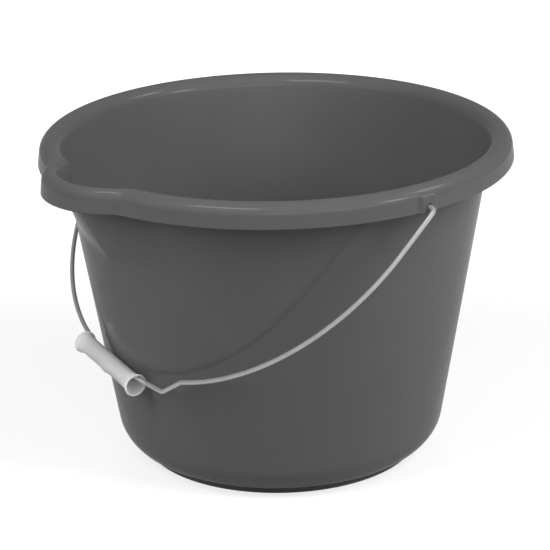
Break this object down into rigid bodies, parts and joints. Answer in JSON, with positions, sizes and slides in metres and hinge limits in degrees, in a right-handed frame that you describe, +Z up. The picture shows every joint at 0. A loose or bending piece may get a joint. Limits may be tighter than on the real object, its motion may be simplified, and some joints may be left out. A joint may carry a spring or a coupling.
{
  "type": "bucket with wire bail",
  "caption": "Tapered plastic bucket with a rolled rim, a drawn-out pouring spout and moulded ears, carried by a swinging wire bail with a loose flared hand grip",
  "frame": {"origin": "On the floor, on the upright axis of the round wall, at the middle of the foot ring", "axes": "+Z up, ears on +X and -X with the bail's hinge line along X, pouring spout towards -Y"},
  "size_m": [0.3684, 0.3677, 0.244],
  "materials": {
    "body_plastic": "dark grey moulded plastic with a soft satin sheen",
    "bail_wire": "bright zinc plated steel wire",
    "grip_plastic": "pale grey moulded plastic, smooth"
  },
  "bodies": {
    "bucket": {"bucket_body": "body_plastic"},
    "bail": {"wire_bail": "bail_wire"},
    "grip": {"hand_grip": "grip_plastic"}
  },
  "joints": [
    {"name": "bail_swing", "type": "hinge", "parent": "bucket", "child": "bail", "pos_m": [0, 0, 0.23075], "axis": [-1, 0, 0], "range_deg": [0, 270.4]},
    {"name": "grip_spin", "type": "hinge", "parent": "bail", "child": "grip", "pos_m": [-0.05934, -0.13606, 0.09326], "axis": [0.9919, -0.0894, -0.0903], "continuous": true}
  ]
}
